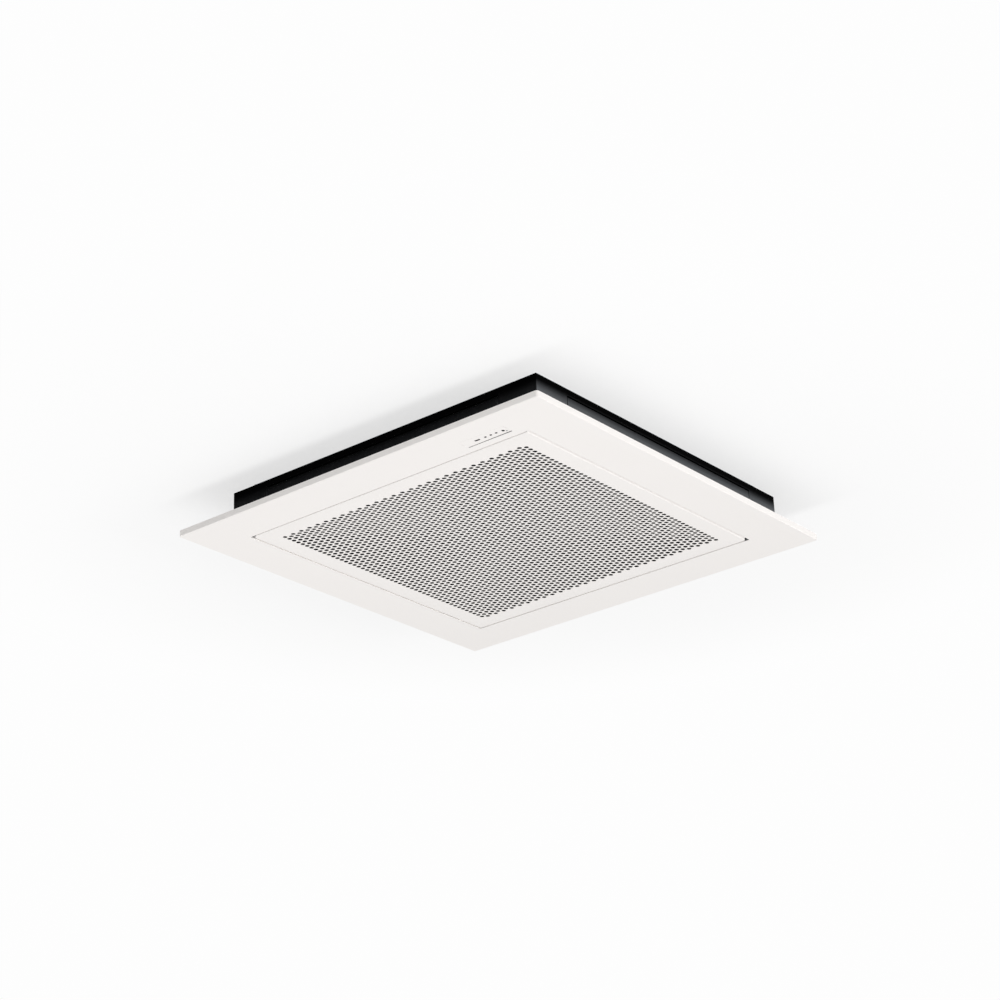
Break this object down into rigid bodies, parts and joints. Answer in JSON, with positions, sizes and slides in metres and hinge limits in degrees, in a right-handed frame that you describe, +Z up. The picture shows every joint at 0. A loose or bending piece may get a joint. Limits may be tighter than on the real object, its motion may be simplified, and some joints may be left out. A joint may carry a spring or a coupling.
{
  "type": "ceiling cassette air conditioner",
  "caption": "Square ceiling cassette air conditioner with a flush perforated intake grille and side outlets closed by louvres above the panel.",
  "frame": {"origin": "midway between the four hanger ears, in the plane of their undersides", "axes": "+Z up, towards the ceiling slab; -X side carries the display; the grille's hinge is on the +Y side; the pipes leave on +X"},
  "size_m": [0.68, 0.682, 0.3185],
  "materials": {
    "white_panel": "fine moulded texture, satin",
    "white_sheet": "powder coated, satin",
    "black_band": "satin black moulding",
    "dark_plastic": "moulded, matt",
    "grey_plastic": "moulded, matt",
    "pipe_plastic": "extruded, satin",
    "white_plastic": "moulded, satin",
    "white_foam": "expanded bead foam",
    "galvanised": "zinc coated, faint spangle",
    "steel": "machined",
    "copper": "drawn copper, slightly dulled",
    "brass": "machined brass",
    "fins": "thin pressed fins",
    "board": "solder mask",
    "smoke_lens": "polished, nearly black",
    "motor_paint": "black paint",
    "filter_net": "fine woven net"
  },
  "bodies": {
    "unit": {"fascia_frame": "white_panel", "hinge_pin_left": "steel", "hinge_pin_right": "steel", "catch_magnet_left": "dark_plastic", "catch_magnet_right": "dark_plastic", "display_window": "white_panel", "light_guide": "smoke_lens", "receiver_lens": "smoke_lens", "display_seal": "dark_plastic", "display_board": "board", "outlet_frame": "black_band", "louvre_motor_front": "dark_plastic", "louvre_motor_right": "dark_plastic", "louvre_motor_back": "dark_plastic", "louvre_motor_left": "dark_plastic", "bell_mouth": "grey_plastic", "fan_motor": "motor_paint", "motor_mount": "galvanised", "coil": "fins", "coil_end_plate_right": "galvanised", "coil_end_plate_back": "galvanised", "gas_pipe": "copper", "gas_flare_nut": "brass", "liquid_pipe": "copper", "liquid_flare_nut": "brass", "pipe_plate": "galvanised", "drain_pan": "white_foam", "drain_pump": "white_plastic", "drain_tube": "pipe_plastic", "drain_spigot": "pipe_plastic", "float_switch": "white_plastic", "casing_front": "galvanised", "casing_right": "galvanised", "casing_back": "galvanised", "casing_left": "galvanised", "hanger_bracket_1": "galvanised", "hanger_bracket_2": "galvanised", "hanger_bracket_3": "galvanised", "hanger_bracket_4": "galvanised", "top_plate": "galvanised", "foam_liner": "white_foam", "control_box": "galvanised", "control_box_lid": "galvanised", "control_board": "board", "terminal_block": "dark_plastic", "cable_gland": "dark_plastic", "air_sensor": "dark_plastic"},
    "grille": {"intake_grille": "white_sheet"},
    "filter": {"filter_frame": "dark_plastic", "filter_mesh": "filter_net"},
    "louvre_front": {"louvre_front": "black_band"},
    "louvre_right": {"louvre_right": "black_band"},
    "louvre_back": {"louvre_back": "black_band"},
    "louvre_left": {"louvre_left": "black_band"},
    "fan": {"turbo_fan": "dark_plastic", "motor_shaft": "steel", "hub_nut": "steel"},
    "pump_rotor": {"pump_impeller": "grey_plastic"},
    "float": {"float_ball": "dark_plastic"},
    "button": {"manual_button": "grey_plastic"}
  },
  "joints": [
    {"name": "grille_hinge", "type": "hinge", "parent": "unit", "child": "grille", "pos_m": [-0.004, 0.2693, -0.2318], "axis": [1, 0, 0], "range_deg": [0, 90]},
    {"name": "filter_lift", "type": "slide", "parent": "grille", "child": "filter", "axis": [0, 0, 1], "range_m": [0, 0.015]},
    {"name": "louvre_front_turn", "type": "hinge", "parent": "unit", "child": "louvre_front", "pos_m": [0, -0.2825, -0.196], "axis": [-1, 0, 0], "range_deg": [0, 75]},
    {"name": "louvre_right_turn", "type": "hinge", "parent": "unit", "child": "louvre_right", "pos_m": [0.2825, 0, -0.196], "axis": [0, -1, 0], "range_deg": [0, 75]},
    {"name": "louvre_back_turn", "type": "hinge", "parent": "unit", "child": "louvre_back", "pos_m": [0, 0.2825, -0.196], "axis": [1, 0, 0], "range_deg": [0, 75]},
    {"name": "louvre_left_turn", "type": "hinge", "parent": "unit", "child": "louvre_left", "pos_m": [-0.2825, 0, -0.196], "axis": [0, 1, 0], "range_deg": [0, 75]},
    {"name": "fan_spin", "type": "hinge", "parent": "unit", "child": "fan", "pos_m": [0, 0, -0.035], "axis": [0, 0, 1], "continuous": true},
    {"name": "pump_spin", "type": "hinge", "parent": "unit", "child": "pump_rotor", "pos_m": [0.218, 0.218, -0.135], "axis": [0, 0, 1], "continuous": true},
    {"name": "float_rise", "type": "slide", "parent": "unit", "child": "float", "axis": [0, 0, 1], "range_m": [0, 0.008]},
    {"name": "button_press", "type": "slide", "parent": "unit", "child": "button", "axis": [0, 0, 1], "range_m": [0, 0.001], "stiffness_N_per_m": 400, "springref_m": -0.002}
  ]
}
